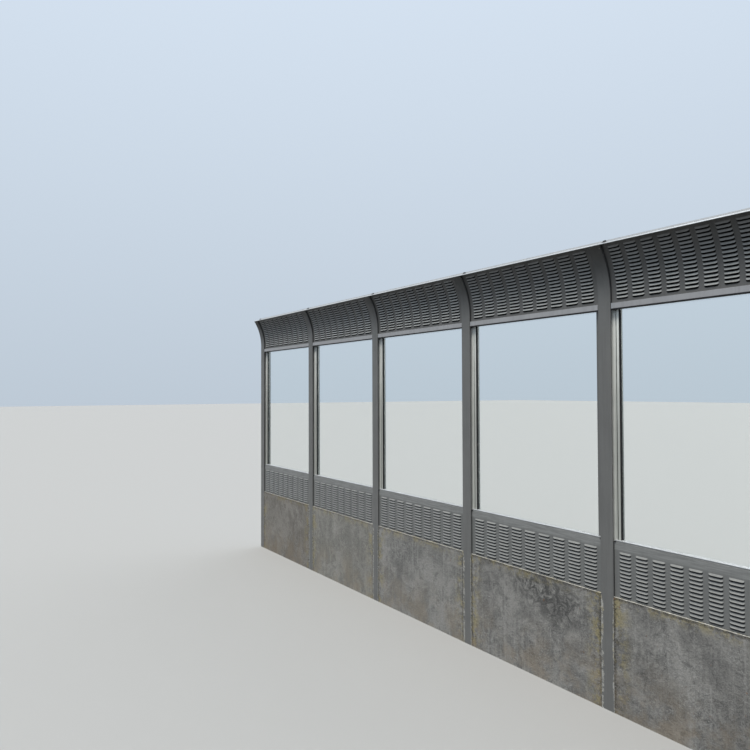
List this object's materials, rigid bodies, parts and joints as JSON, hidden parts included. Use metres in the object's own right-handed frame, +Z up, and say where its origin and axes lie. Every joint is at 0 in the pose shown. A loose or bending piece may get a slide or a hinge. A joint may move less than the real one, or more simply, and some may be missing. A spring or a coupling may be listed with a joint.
{
  "type": "noise barrier section",
  "caption": "Roadside noise barrier: H posts bent at the top carry concrete, louvre panels and framed clear panes.",
  "frame": {"origin": "centre of the first post's foot, at ground level", "axes": "+X along the row to the last post, -Y towards the road, +Z up"},
  "size_m": [10.14, 0.2863, 4.3188],
  "materials": {
    "post_paint": "satin grey paint",
    "panel_paint": "satin grey powder coat",
    "rail_paint": "light grey powder coat",
    "frame_aluminium": "natural anodised",
    "pane_glass": "clear",
    "gasket_rubber": "matt black",
    "wall_concrete": "weathered cast concrete",
    "cap_galvanised": "bright folded sheet"
  },
  "bodies": {
    "root": {"post_1": "post_paint", "post_2": "post_paint", "post_3": "post_paint", "post_4": "post_paint", "post_5": "post_paint", "post_6": "post_paint", "concrete_wall_1": "wall_concrete", "lower_louvre_panel_1": "panel_paint", "glazing_frame_1": "frame_aluminium", "glass_pane_1": "pane_glass", "curved_panel_1": "panel_paint", "panel_rail_1": "rail_paint", "top_cap_1": "cap_galvanised", "concrete_wall_2": "wall_concrete", "lower_louvre_panel_2": "panel_paint", "glazing_frame_2": "frame_aluminium", "glass_pane_2": "pane_glass", "curved_panel_2": "panel_paint", "panel_rail_2": "rail_paint", "top_cap_2": "cap_galvanised", "concrete_wall_3": "wall_concrete", "lower_louvre_panel_3": "panel_paint", "glazing_frame_3": "frame_aluminium", "glass_pane_3": "pane_glass", "curved_panel_3": "panel_paint", "panel_rail_3": "rail_paint", "top_cap_3": "cap_galvanised", "concrete_wall_4": "wall_concrete", "lower_louvre_panel_4": "panel_paint", "glazing_frame_4": "frame_aluminium", "glass_pane_4": "pane_glass", "curved_panel_4": "panel_paint", "panel_rail_4": "rail_paint", "top_cap_4": "cap_galvanised", "concrete_wall_5": "wall_concrete", "lower_louvre_panel_5": "panel_paint", "glazing_frame_5": "frame_aluminium", "glass_pane_5": "pane_glass", "curved_panel_5": "panel_paint", "panel_rail_5": "rail_paint", "top_cap_5": "cap_galvanised", "glazing_gaskets": "gasket_rubber"}
  },
  "joints": []
}
